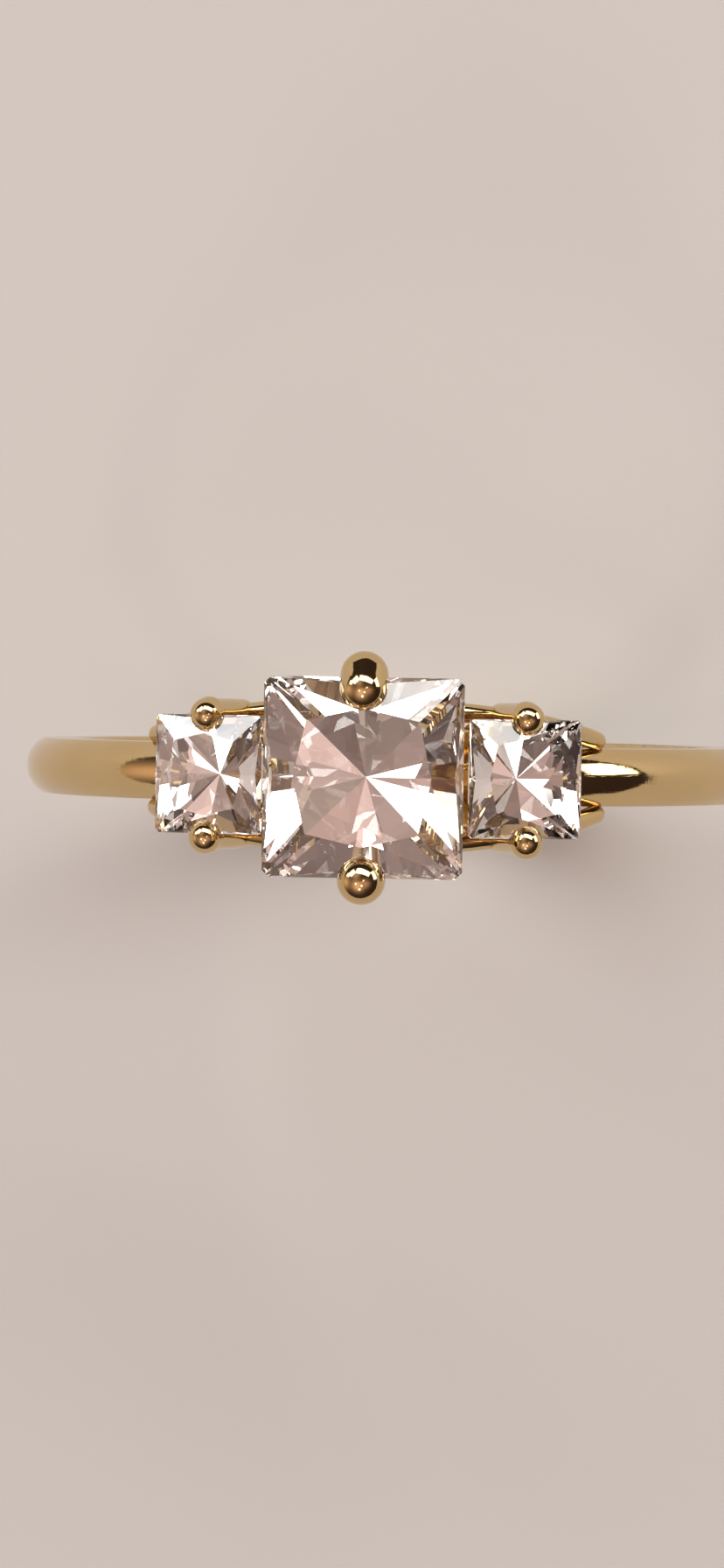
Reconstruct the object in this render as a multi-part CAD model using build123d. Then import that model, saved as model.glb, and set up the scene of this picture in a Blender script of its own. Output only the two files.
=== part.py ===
from build123d import *
import math
import os

# Three-stone engagement ring, millimetres.
# Origin: centre of the finger hole. +Y runs along the finger, +Z up through the centre stone,
# +X to the right hand side stone. "Front" is the -Y side of the ring and "back" the +Y side.

# ---- shank -------------------------------------------------------------------------------
finger_bore = 17.3          # inside diameter, US size 7
shank_thickness = 1.4       # bore to the top of the dome
shank_width = 1.5           # along the finger
shank_dome = 0.45           # how far the domed outside rises above its side edges
shank_edge_round = 0.14     # the four long edges, eased and polished

# ---- stones: square princess cut -----------------------------------------------------------
centre_stone_width = 5.0
side_stone_width = 3.0
pavilion_share = 0.60       # pavilion depth over stone width
crown_share = 0.09          # crown height over stone width
girdle_share = 0.02         # girdle thickness over stone width
corner_share = 0.036        # corner nipped off square, over stone width
# Middle line of each side: (distance out over half width, depth over pavilion depth), girdle to culet.
PAVILION_CREASES = [(1.00, 0.02), (0.84, 0.235), (0.505, 0.555), (0.00, 1.00)]
# The same line on the crown: (distance out over half width, height over crown height), girdle to table.
CROWN_CREASES = [(1.00, 0.05), (0.925, 0.56), (0.69, 1.00)]

centre_culet_gap = 0.15     # culet of the centre stone above the shank
side_culet_gap = 0.54       # culets of the side stones above the shank
side_stone_tilt = 22.0      # degrees that each side stone leans outwards
stone_gap = 0.08            # between the girdles of two neighbours, seen from above

# ---- seats: square bevelled collars under the girdles ----------------------------------------
seat_inset = 0.13           # outside of the collar in from the edge of the stone
seat_land = 0.035           # width of the collar's flat top edge
seat_wall = 0.52            # wall before the bevel is cut
seat_corner_round = 0.22
centre_seat_height = 0.62
side_seat_height = 0.50

# ---- gallery rails: one bent round wire along the front, one along the back --------------------
rail_diameter = 0.50
rail_rise = 1.05            # middle of the rail above the shank, at the centre stone
rail_stone_gap = 0.40       # between the rail and the pavilion of the centre stone
rail_end_reach = 0.34       # rail ends outboard of the side stones' outer edges
rail_end_sink = 0.05        # ball ends let into the side faces of the shank
rail_end_depth = 0.52       # ball ends below the top of the dome

# ---- prongs ----------------------------------------------------------------------------------
centre_leg_diameter = 0.92
side_leg_diameter = 0.76
centre_bead_diameter = 1.20
side_bead_diameter = 0.84
centre_leg_offset = 0.35    # centre legs stand outside the rail, which lies in a notch in them
leg_foot_depth = 0.80       # middle of a leg's rounded foot below the top of the dome
leg_foot_bite = 0.65        # share of the leg's radius that the shank's side face cuts off
bead_level = 0.06           # outer end of a bead above the underside of the girdle
centre_bead_rise = 0.30     # inner end of a bead above the underside of the girdle
side_bead_rise = 0.20
centre_bead_overhang = 0.65         # bead beyond the edge of the stone
side_bead_overhang = 0.46
centre_bead_reach = {"front": 0.55, "back": 0.88}   # bead in over the crown
side_bead_reach = {"front": 0.34, "back": 0.42}

# ---- worked out from the sizes above -----------------------------------------------------------
bore_radius = finger_bore / 2
shank_radius = bore_radius + shank_thickness
side_face_y = shank_width / 2
rail_radius = rail_diameter / 2
tilt = math.radians(side_stone_tilt)
WAYS = {"front": -1, "back": 1}
HANDS = {"left": -1, "right": 1}


def shank():
    """Plain band: flat inside, domed outside, one profile turned about the finger's axis."""
    shoulder = shank_radius - shank_dome
    outline = Polyline((shoulder, -side_face_y), (bore_radius, -side_face_y),
                       (bore_radius, side_face_y), (shoulder, side_face_y))
    dome = ThreePointArc((shoulder, side_face_y), (shank_radius, 0), (shoulder, -side_face_y))
    profile = make_face(outline + dome)
    profile = fillet(profile.vertices(), shank_edge_round)
    return revolve(profile, Axis.Y)


def grind_flat(stone, corners):
    """Cut the stone down to the plane through three points, keeping the middle of the stone."""
    first, second, third = corners
    outward = (second - first).cross(third - first)
    if outward.dot(first) < 0:
        outward = -outward
    return split(stone, bisect_by=Plane(origin=first, z_dir=outward), keep=Keep.BOTTOM)


def fan(half_width, level, direction, height, creases):
    """Facets of one half side: each runs from the corner of the stone to two points of its middle line."""
    corner = Vector(half_width, half_width, level)
    line = [Vector(out * half_width, 0, level + direction * up * height) for out, up in creases]
    return [(corner, line[step], line[step + 1]) for step in range(len(line) - 1)]


def princess_stone(width):
    """Square brilliant; its own origin is the middle of the underside of the girdle, table up."""
    half_width = width / 2
    pavilion = pavilion_share * width
    girdle = girdle_share * width
    crown = crown_share * width
    blank = Pos(0, 0, (girdle + crown - pavilion) / 2) * Box(width, width, pavilion + girdle + crown)
    nip = corner_share * width
    stone = chamfer(blank.edges().filter_by(Axis.Z), nip)
    facets = fan(half_width, 0, -1, pavilion, PAVILION_CREASES)
    facets += fan(half_width, girdle, 1, crown, CROWN_CREASES)
    for quarter in range(4):
        for mirrored in (1, -1):
            for facet in facets:
                corners = [Vector(p.X, mirrored * p.Y, p.Z).rotate(Axis.Z, 90 * quarter) for p in facet]
                stone = grind_flat(stone, corners)
    return stone


def seat(width, height, stone):
    """Square collar whose inside bevel is the stone's own pavilion."""
    half_outside = width / 2 - seat_inset
    (edge_out, edge_down), (crease_out, crease_down) = PAVILION_CREASES[:2]
    slope = (crease_down - edge_down) * pavilion_share * width / ((edge_out - crease_out) * width / 2)
    top = -(edge_down * pavilion_share * width + (seat_inset + seat_land) * slope)
    outside = Pos(0, 0, top - height / 2) * Box(2 * half_outside, 2 * half_outside, height)
    outside = fillet(outside.edges().filter_by(Axis.Z), seat_corner_round)
    half_inside = half_outside - seat_wall
    inside = Pos(0, 0, top - height / 2) * Box(2 * half_inside, 2 * half_inside, 2 * height)
    return outside - inside - stone


def pavilion_half_width(depth, width):
    """Half width of a stone on the middle line of its side, at a depth below the girdle."""
    line = [(out * width / 2, down * pavilion_share * width) for out, down in PAVILION_CREASES]
    for (upper_out, upper), (lower_out, lower) in zip(line, line[1:]):
        if depth < lower:
            return upper_out + (lower_out - upper_out) * (depth - upper) / (lower - upper)
    return 0.0


def centre_place():
    """Frame of the centre stone: its culet stands just clear of the shank."""
    return Plane(origin=(0, 0, shank_radius + centre_culet_gap + pavilion_share * centre_stone_width))


def side_place(hand):
    """Frame of a side stone, beside the centre stone and leaning outwards, its culet clear of the shank."""
    half_width = side_stone_width / 2
    depth = pavilion_share * side_stone_width
    across = centre_stone_width / 2 + stone_gap + half_width * math.cos(tilt)
    culet_across = across - depth * math.sin(tilt)
    culet_up = math.sqrt((shank_radius + side_culet_gap) ** 2 - culet_across ** 2)
    up = culet_up + depth * math.cos(tilt)
    return Plane(origin=(hand * across, 0, up),
                 x_dir=(math.cos(tilt), 0, -hand * math.sin(tilt)),
                 z_dir=(hand * math.sin(tilt), 0, math.cos(tilt)))


class RailArc:
    """Middle line of a gallery rail: a circular arc in a plane that leans in towards its ends."""

    def __init__(self):
        outer_edge = side_place(1).from_local_coords(Vector(side_stone_width / 2, 0, 0))
        self.end_x = outer_edge.X + rail_end_reach
        self.end_y = side_face_y + rail_radius - rail_end_sink
        self.end_z = math.sqrt((shank_radius - rail_end_depth) ** 2 - self.end_x ** 2)
        self.top_z = shank_radius + rail_rise
        stone_depth = centre_place().origin.Z - self.top_z - rail_radius
        stone_out = pavilion_half_width(stone_depth, centre_stone_width)
        self.top_y = stone_out + rail_stone_gap + rail_radius
        fall = math.hypot(self.top_z - self.end_z, self.top_y - self.end_y)
        self.radius = (self.end_x ** 2 + fall ** 2) / (2 * fall)
        self.lean_y = (self.top_y - self.end_y) / fall
        self.lean_z = (self.top_z - self.end_z) / fall

    def point(self, across, way):
        """Point of the middle line at a distance across the ring."""
        sag = self.radius - math.sqrt(self.radius ** 2 - across ** 2)
        return Vector(across, way * (self.top_y - sag * self.lean_y), self.top_z - sag * self.lean_z)

    def crossing(self, place, way):
        """Point of the middle line in the plane that holds a stone's own Y and Z."""
        low, high = -self.end_x, self.end_x
        for _ in range(60):
            middle = (low + high) / 2
            if place.to_local_coords(self.point(middle, way)).X < 0:
                low = middle
            else:
                high = middle
        return self.point(middle, way)


def rod(start, end, radius):
    return Solid.make_cylinder(radius, (end - start).length, Plane(origin=start, z_dir=end - start))


def ball(middle, radius):
    return Solid.make_sphere(radius, Plane(origin=middle))


def gallery_rail(way, band):
    """Round wire bent to an arc, its ball ends let into the side face of the shank."""
    arc = RailArc()
    left, top, right = arc.point(-arc.end_x, way), arc.point(0, way), arc.point(arc.end_x, way)
    path = ThreePointArc(left, top, right)
    section = Plane(origin=left, z_dir=path % 0) * Circle(rail_radius)
    wire = sweep(section, path) + ball(left, rail_radius) + ball(right, rail_radius)
    return wire - band


def prong(place, way, sizes, foot, knee):
    """Round leg from the side of the shank past the rail and the girdle, ending in a bead on the crown."""
    half_width = sizes["width"] / 2
    bead = sizes["bead"] / 2
    leg = sizes["leg"] / 2
    out = half_width + sizes["overhang"] - bead
    inner = half_width - sizes["reach"] + bead
    top = place.from_local_coords(Vector(0, way * out, bead_level))
    tip = place.from_local_coords(Vector(0, way * inner, sizes["rise"]))
    return ball(foot, leg).fuse(rod(foot, knee, leg), ball(knee, leg), rod(knee, top, leg),
                                ball(top, bead), rod(top, tip, bead), ball(tip, bead))


def leg_foot(place, way, leg_radius):
    """Middle of a leg's foot: on the side face of the shank, straight under its stone."""
    foot_radius = shank_radius - leg_foot_depth
    foot_y = side_face_y + leg_radius * (1 - leg_foot_bite)
    axis = place.z_dir
    along = place.origin.dot(axis)
    beside = place.origin - axis * along
    down = math.sqrt(foot_radius ** 2 - beside.length ** 2)
    return Vector(0, way * foot_y, 0) + beside + axis * down


def centre_prong(way_name, place):
    way = WAYS[way_name]
    sizes = {"width": centre_stone_width, "leg": centre_leg_diameter, "bead": centre_bead_diameter,
             "overhang": centre_bead_overhang, "rise": centre_bead_rise, "reach": centre_bead_reach[way_name]}
    knee = RailArc().crossing(place, way) + Vector(0, way * centre_leg_offset, 0)
    return prong(place, way, sizes, leg_foot(place, way, centre_leg_diameter / 2), knee)


def side_prong(way_name, place):
    way = WAYS[way_name]
    sizes = {"width": side_stone_width, "leg": side_leg_diameter, "bead": side_bead_diameter,
             "overhang": side_bead_overhang, "rise": side_bead_rise, "reach": side_bead_reach[way_name]}
    knee = RailArc().crossing(place, way)
    return prong(place, way, sizes, leg_foot(place, way, side_leg_diameter / 2), knee)


def build_ring():
    """Every piece by name; where two pieces meet, one is cut to the other's surface."""
    band = shank()
    rails = {name: gallery_rail(way, band) for name, way in WAYS.items()}
    pieces = {"shank": band}
    pieces.update({f"{name}_gallery_rail": rail for name, rail in rails.items()})

    centre_stone = princess_stone(centre_stone_width)
    side_stone = princess_stone(side_stone_width)
    heads = {"centre": (centre_place(), centre_stone, centre_seat_height, centre_stone_width, centre_prong)}
    for hand_name, hand in HANDS.items():
        heads[hand_name] = (side_place(hand), side_stone, side_seat_height, side_stone_width, side_prong)

    for head, (place, stone, seat_height, width, make_prong) in heads.items():
        set_stone = place.location * stone
        set_seat = place.location * seat(width, seat_height, stone)
        pieces[f"{head}_stone"] = set_stone
        pieces[f"{head}_seat"] = set_seat
        for way_name, rail in rails.items():
            shape = make_prong(way_name, place)
            pieces[f"{head}_{way_name}_prong"] = shape - band - rail - set_seat - set_stone
    return pieces


os.makedirs("parts", exist_ok=True)
for node, piece in build_ring().items():
    export_step(piece, f"parts/{node}.step")
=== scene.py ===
import math

import bpy
from mathutils import Matrix, Vector


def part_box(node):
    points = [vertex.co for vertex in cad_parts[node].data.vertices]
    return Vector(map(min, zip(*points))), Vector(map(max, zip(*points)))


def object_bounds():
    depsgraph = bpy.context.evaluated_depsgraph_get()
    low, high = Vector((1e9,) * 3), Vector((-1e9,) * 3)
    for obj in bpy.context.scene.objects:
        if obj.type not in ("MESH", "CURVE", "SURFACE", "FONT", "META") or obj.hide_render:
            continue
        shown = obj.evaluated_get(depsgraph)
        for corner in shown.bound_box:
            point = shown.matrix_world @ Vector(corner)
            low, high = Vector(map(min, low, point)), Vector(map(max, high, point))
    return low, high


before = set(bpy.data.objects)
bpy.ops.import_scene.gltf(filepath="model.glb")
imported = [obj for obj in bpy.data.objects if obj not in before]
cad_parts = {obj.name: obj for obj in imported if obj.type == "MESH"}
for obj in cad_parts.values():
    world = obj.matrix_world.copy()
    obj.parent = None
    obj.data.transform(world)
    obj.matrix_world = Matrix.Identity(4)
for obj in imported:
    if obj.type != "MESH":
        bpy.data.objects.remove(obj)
cad_low, cad_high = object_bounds()

MM = 0.001
STONES = ("centre_stone", "left_stone", "right_stone")


# ---- making up a finish ------------------------------------------------------------------------

class Value:
    """A number that varies over a surface. Arithmetic on it adds Math nodes to its finish."""

    def __init__(self, finish, socket):
        self.finish = finish
        self.socket = socket

    def math(self, operation, *others):
        return self.finish.node("ShaderNodeMath", {"operation": operation}, [self, *others])

    def math_after(self, operation, first):
        return self.finish.node("ShaderNodeMath", {"operation": operation}, [first, self])

    def __add__(self, other):
        return self.math("ADD", other)

    def __sub__(self, other):
        return self.math("SUBTRACT", other)

    def __rsub__(self, other):
        return self.math_after("SUBTRACT", other)

    def __mul__(self, other):
        return self.math("MULTIPLY", other)

    def __truediv__(self, other):
        return self.math("DIVIDE", other)

    def __rtruediv__(self, other):
        return self.math_after("DIVIDE", other)

    __radd__ = __add__
    __rmul__ = __mul__


class Finish:
    """One material's nodes, or the world's."""

    def __init__(self, owner):
        owner.use_nodes = True
        self.nodes = owner.node_tree.nodes
        self.links = owner.node_tree.links
        self.nodes.clear()

    def node(self, kind, settings=None, inputs=(), output=0):
        """Add a node: its settings first, then its sockets by number or name, and hand back one output."""
        made = self.nodes.new(kind)
        for name, value in (settings or {}).items():
            if name == "stops":
                self.set_stops(made.color_ramp, value)
            else:
                setattr(made, name, value)
        for name, value in inputs.items() if isinstance(inputs, dict) else enumerate(inputs):
            if isinstance(value, Value):
                self.links.new(value.socket, made.inputs[name])
            elif value is not None:
                made.inputs[name].default_value = value
        return Value(self, made.outputs[output]) if len(made.outputs) else made

    @staticmethod
    def set_stops(ramp, stops):
        while len(ramp.elements) < len(stops):
            ramp.elements.new(1.0)
        for element, (place, colour) in zip(ramp.elements, stops):
            element.position, element.color = place, colour

    def ramp(self, factor, *stops):
        """Grey ramp: (place, value) pairs."""
        stops = [(place, (value, value, value, 1.0)) for place, value in stops]
        return self.node("ShaderNodeValToRGB", {"stops": stops}, [factor])

    def mix(self, factor, first, second):
        settings = {"data_type": "RGBA", "clamp_factor": True}
        return self.node("ShaderNodeMix", settings, {0: factor, 6: first, 7: second}, output=2)

    def vector(self, operation, first, second):
        return self.node("ShaderNodeVectorMath", {"operation": operation}, [first, second])

    def place(self):
        """Where a point of the ring is, in millimetres."""
        spot = self.node("ShaderNodeTexCoord", output="Object")
        return self.vector("MULTIPLY", spot, (1 / MM, 1 / MM, 1 / MM))

    def noise(self, place, scale, detail=2.0, roughness=0.5):
        inputs = {"Vector": place, "Scale": scale, "Detail": detail, "Roughness": roughness}
        return self.node("ShaderNodeTexNoise", None, inputs)

    def bump(self, height, distance, strength, over=None):
        inputs = {"Strength": strength, "Distance": distance, "Height": height, "Normal": over}
        return self.node("ShaderNodeBump", None, inputs)

    def surface(self, **inputs):
        """Close the finish with one shader, whose sockets are named with underscores for spaces."""
        sockets = {name.replace("_", " "): value for name, value in inputs.items()}
        shader = self.node("ShaderNodeBsdfPrincipled", None, sockets)
        self.node("ShaderNodeOutputMaterial", None, {"Surface": shader})


def new_material(name):
    material = bpy.data.materials.new(name)
    return material, Finish(material)


# ---- the ring's own finishes -------------------------------------------------------------------

YELLOW_GOLD = (0.66, 0.48, 0.23, 1.0)
PALE_GOLD = (0.76, 0.59, 0.33, 1.0)
# painted shade: a dark gold mixed into the setting's corners and gaps
PAINTED_SHADE_GOLD = (0.30, 0.19, 0.09, 1.0)
CLEAR = (1.0, 0.985, 0.985, 1.0)
HANDLED = (1.0, 0.95, 0.945, 1.0)
FLOOR_TONE = (0.58, 0.566, 0.552, 1.0)
FLOOR_TONE_PALER = (0.61, 0.596, 0.582, 1.0)

POLISH = 0.045                       # roughness of gold straight from the buff
BAND_RADIUS = 9.5                    # millimetres from the finger's axis, within the band's thickness
RIPPLE_DEPTH = 0.05 * MM
LINE_DEPTH = 0.002 * MM
GRAIN_DEPTH = 0.003 * MM
CREVICE_REACH = 0.35 * MM
STONE_INDEX = 2.16                   # how strongly the stones bend light


def hairlines(finish, place, along, fineness):
    """Faint polishing lines, long in one direction: 1 on a line and 0 between."""
    stretched = finish.vector("MULTIPLY", place, along)
    lines = finish.noise(stretched, fineness, detail=3.0, roughness=0.65)
    return finish.ramp(lines, (0.52, 0.0), (0.70, 1.0))


def polished_band():
    """Shank: lines of the buff run round the band, with fine wear across them."""
    material, finish = new_material("polished_band")
    place = finish.place()
    x, y, z = (finish.node("ShaderNodeSeparateXYZ", None, [place], output=axis) for axis in range(3))
    round_band = x.math("ARCTAN2", z) * BAND_RADIUS
    from_axis = (x * x + z * z).math("SQRT")
    unrolled = finish.node("ShaderNodeCombineXYZ", None, [round_band, y, from_axis])
    buffing = hairlines(finish, unrolled, (0.16, 5.0, 5.0), 3.2)
    scuffs = hairlines(finish, place, (2.4, 0.5, 1.3), 2.1)
    cloudy = finish.noise(place, 0.55, detail=3.0)
    ripple = finish.noise(place, 0.9, detail=1.0)
    colour = finish.mix(cloudy * 0.5, YELLOW_GOLD, PALE_GOLD)
    roughness = POLISH + buffing * 0.06 + scuffs * 0.05 + cloudy * 0.04
    waves = finish.bump(ripple, RIPPLE_DEPTH, strength=0.25)
    normal = finish.bump(buffing + scuffs, LINE_DEPTH, strength=0.35, over=waves)
    finish.surface(Base_Color=colour, Metallic=1.0, Roughness=roughness, Normal=normal)
    return material


def cast_setting():
    """Prongs, seats and rails: cast gold, brightened by hand, left rougher in the corners and darkened there
    with painted shade.
    """
    material, finish = new_material("cast_setting")
    place = finish.place()
    grain = finish.noise(place, 6.0, detail=3.0, roughness=0.6)
    ripple = finish.noise(place, 1.6, detail=1.5)
    # Occlusion mask: in corners and between parts the gold is made rougher, and its colour is darkened as
    # painted shade
    crevice = finish.node("ShaderNodeAmbientOcclusion", {"samples": 8, "only_local": False},
                          {"Distance": CREVICE_REACH}, output="AO")
    dull_and_painted_shade = 1 - finish.ramp(crevice, (0.30, 0.0), (0.85, 1.0))
    colour = finish.mix(grain * 0.35, YELLOW_GOLD, PALE_GOLD)
    # painted shade: the colour is darkened in the corners and gaps
    colour = finish.mix(dull_and_painted_shade * 0.6, colour, PAINTED_SHADE_GOLD)
    roughness = POLISH + grain * 0.05 + dull_and_painted_shade * 0.20
    waves = finish.bump(ripple, RIPPLE_DEPTH, strength=0.3)
    normal = finish.bump(grain, GRAIN_DEPTH, strength=0.3, over=waves)
    finish.surface(Base_Color=colour, Metallic=1.0, Roughness=roughness, Normal=normal)
    return material


def cut_stone():
    """Colourless stone, polished flat on every facet, with the faintest film of handling."""
    material, finish = new_material("cut_stone")
    place = finish.place()
    film = finish.ramp(finish.noise(place, 1.3, detail=4.0, roughness=0.6), (0.45, 0.0), (0.75, 1.0))
    colour = finish.mix(film * 0.5, CLEAR, HANDLED)
    finish.surface(Base_Color=colour, Roughness=film * 0.02, IOR=STONE_INDEX, Transmission_Weight=1.0)
    return material


def pale_floor():
    material, finish = new_material("pale_floor")
    place = finish.place()
    tone = finish.noise(place, 0.05, detail=2.0)
    colour = finish.mix(tone, FLOOR_TONE, FLOOR_TONE_PALER)
    finish.surface(Base_Color=colour, Roughness=0.7)
    return material


# ---- putting the finishes on ---------------------------------------------------------------------

WELD_DISTANCE = 0.0004 * MM
METAL_CLEARANCE = 0.004 * MM


def facet_skin():
    """Node group that joins a stone's facets at their edges, keeps them flat and draws them in by a hair, so
    that the stone and the metal never share a surface."""
    group = bpy.data.node_groups.new("facet_skin", "GeometryNodeTree")
    group.interface.new_socket("Geometry", in_out="INPUT", socket_type="NodeSocketGeometry")
    group.interface.new_socket("Geometry", in_out="OUTPUT", socket_type="NodeSocketGeometry")
    nodes, links = group.nodes, group.links
    start = nodes.new("NodeGroupInput")
    weld = nodes.new("GeometryNodeMergeByDistance")
    weld.inputs["Distance"].default_value = WELD_DISTANCE
    bare = nodes.new("GeometryNodeRemoveAttribute")
    bare.inputs["Name"].default_value = "custom_normal"
    flat = nodes.new("GeometryNodeSetShadeSmooth")
    flat.inputs["Shade Smooth"].default_value = False
    normal = nodes.new("GeometryNodeInputNormal")
    inward = nodes.new("ShaderNodeVectorMath")
    inward.operation = "SCALE"
    inward.inputs["Scale"].default_value = -METAL_CLEARANCE
    shift = nodes.new("GeometryNodeSetPosition")
    end = nodes.new("NodeGroupOutput")
    links.new(start.outputs[0], weld.inputs["Geometry"])
    links.new(weld.outputs[0], bare.inputs["Geometry"])
    links.new(bare.outputs[0], flat.inputs["Geometry"])
    links.new(normal.outputs[0], inward.inputs[0])
    links.new(inward.outputs[0], shift.inputs["Offset"])
    links.new(flat.outputs[0], shift.inputs["Geometry"])
    links.new(shift.outputs[0], end.inputs[0])
    return group


def dress(node, material):
    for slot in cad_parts[node].material_slots:
        slot.link = "OBJECT"
        slot.material = material


def dress_ring():
    band, setting, stone = polished_band(), cast_setting(), cut_stone()
    skin = facet_skin()
    for node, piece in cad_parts.items():
        if node in STONES:
            dress(node, stone)
            piece.modifiers.new("facet_skin", "NODES").node_group = skin
        else:
            dress(node, band if node == "shank" else setting)


# ---- studio --------------------------------------------------------------------------------------

VIEW_DISTANCE = 120 * MM
VIEW_TURN = math.radians(3.47)       # the eye stands a little to the right of straight above
VIEW_TILT = math.radians(1.12)       # and a little behind it
VIEW_ROLL = math.radians(0.91)
VIEW_WIDTH = 18.0 * MM               # what is seen across, at the centre stone's girdle
VIEW_SHAPE = 1792 / 828              # height over width
VIEW_AIM = (-0.03 * MM, -0.157 * MM)
GIRDLE_SHARE = 0.833                 # of the centre stone's height
SENSOR = 36.0
NEAREST, FURTHEST = 1 * MM, 10.0
FLOOR_REACH = 2.0


def add_camera():
    low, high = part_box("centre_stone")
    aim = Vector((*VIEW_AIM, low.z + (high.z - low.z) * GIRDLE_SHARE))
    back = Vector((math.sin(VIEW_TURN) * math.cos(VIEW_TILT), math.sin(VIEW_TILT),
                   math.cos(VIEW_TURN) * math.cos(VIEW_TILT)))
    right = Vector((0, 1, 0)).cross(back).normalized()
    up = back.cross(right)
    level = Matrix((right, up, back)).transposed()
    data = bpy.data.cameras.new("view")
    camera = bpy.data.objects.new("view", data)
    camera.matrix_world = (Matrix.Translation(aim + back * VIEW_DISTANCE) @ level.to_4x4()
                           @ Matrix.Rotation(VIEW_ROLL, 4, "Z"))
    data.sensor_width = SENSOR
    data.lens = SENSOR * VIEW_DISTANCE / (VIEW_WIDTH * VIEW_SHAPE)
    data.clip_start, data.clip_end = NEAREST, FURTHEST
    bpy.context.scene.collection.objects.link(camera)
    bpy.context.scene.camera = camera


def add_floor():
    corners = ((-1, -1), (1, -1), (1, 1), (-1, 1))
    mesh = bpy.data.meshes.new("floor")
    mesh.from_pydata([(x * FLOOR_REACH, y * FLOOR_REACH, cad_low.z) for x, y in corners], [], [(0, 1, 2, 3)])
    floor = bpy.data.objects.new("floor", mesh)
    mesh.materials.append(pale_floor())
    bpy.context.scene.collection.objects.link(floor)


WHITE = (1.0, 0.98, 0.94)
COOL = (0.94, 0.97, 1.0)
WARM = (1.0, 0.90, 0.80)
AMBIENT = (0.04, 0.027, 0.024)
BACKDROP = (0.69, 0.615, 0.567, 1.0)
PANEL_EDGE = 0.02                    # width of a panel's soft edge, as a tangent
STONE_BOUNCES = 24
METAL_BOUNCES = 12

# Each light: degrees round from +X towards +Y and degrees up from level; then for a glow how tight it is and
# its colour, and for a panel its width and height in degrees, its brightness and its colour.
GLOWS = [
    (-118, 63, 10, (1.10, 0.76, 0.66)),
    (125, 52, 20, (0.58, 0.44, 0.35)),
    (-20, 60, 20, (0.50, 0.32, 0.26)),
    (185, 14, 14, (0.85, 0.60, 0.46)),
]
PANELS = {
    "window_right": (73, 41, 61, 26, 4.8, WHITE),
    "window_left": (135, 33, 31, 23, 5.0, COOL),
    "left_edge": (155, 22, 16, 16, 4.0, WHITE),
    "low_right": (25, 13, 31, 20, 6.0, WARM),
    "front": (-95, 50, 8, 8, 8.0, WARM),
    "high_front": (-70, 68, 7, 7, 6.0, WARM),
    "high_right": (10, 72, 6, 6, 5.0, WHITE),
    "high_left": (215, 66, 7, 7, 5.0, WHITE),
}


def bearing(round_about, up):
    """Unit vector at an angle round from +X towards +Y, and up from level, in degrees."""
    turn, rise = math.radians(round_about), math.radians(up)
    return Vector((math.cos(rise) * math.cos(turn), math.cos(rise) * math.sin(turn), math.sin(rise)))


class Room:
    """Far surroundings of the ring: a dim warm room, soft glows and bright panels, all very far off."""

    def __init__(self):
        world = bpy.data.worlds.new("room")
        bpy.context.scene.world = world
        self.finish = Finish(world)
        self.way = self.finish.node("ShaderNodeTexCoord", output="Generated")
        self.light = AMBIENT

    def towards(self, direction):
        """Cosine between the way looked and a direction."""
        settings = {"operation": "DOT_PRODUCT"}
        return self.finish.node("ShaderNodeVectorMath", settings, [self.way, direction], output="Value")

    def add(self, colour, amount):
        sockets = {0: colour, "Scale": amount}
        scaled = self.finish.node("ShaderNodeVectorMath", {"operation": "SCALE"}, sockets)
        self.light = self.finish.vector("ADD", scaled, self.light)

    def glow(self, round_about, up, tightness, colour):
        facing = self.towards(bearing(round_about, up))
        self.add(colour, ((facing - 1) * tightness).math("EXPONENT"))

    def panel(self, round_about, up, width, height, brightness, colour):
        away = bearing(round_about, up)
        side = Vector((0, 0, 1)).cross(away).normalized()
        facing = self.towards(away)
        inside = facing.math("GREATER_THAN", 0)
        for direction, angle in ((side, width), (away.cross(side), height)):
            offset = (self.towards(direction) / facing).math("ABSOLUTE")
            margin = (math.tan(math.radians(angle / 2)) - offset) * (1 / PANEL_EDGE)
            inside = inside * margin.math("MAXIMUM", 0).math("MINIMUM", 1)
        self.add(colour, inside * brightness)

    def close(self):
        """What stands behind the ring is plain and pale; the lights show only in its polish."""
        seen = self.finish.node("ShaderNodeLightPath", output="Is Camera Ray")
        colour = self.finish.mix(seen, self.light, BACKDROP)
        sky = self.finish.node("ShaderNodeBackground", None, {"Color": colour})
        self.finish.node("ShaderNodeOutputWorld", None, {"Surface": sky})


def light_room():
    room = Room()
    for glow in GLOWS:
        room.glow(*glow)
    for panel in PANELS.values():
        room.panel(*panel)
    room.close()


def let_light_through():
    """Light crosses a stone many times before it leaves."""
    cycles = bpy.context.scene.cycles
    cycles.max_bounces = STONE_BOUNCES
    cycles.transmission_bounces = STONE_BOUNCES
    cycles.glossy_bounces = METAL_BOUNCES


dress_ring()
add_camera()
add_floor()
light_room()
let_light_through()
bpy.context.scene.view_settings.view_transform = "Standard"
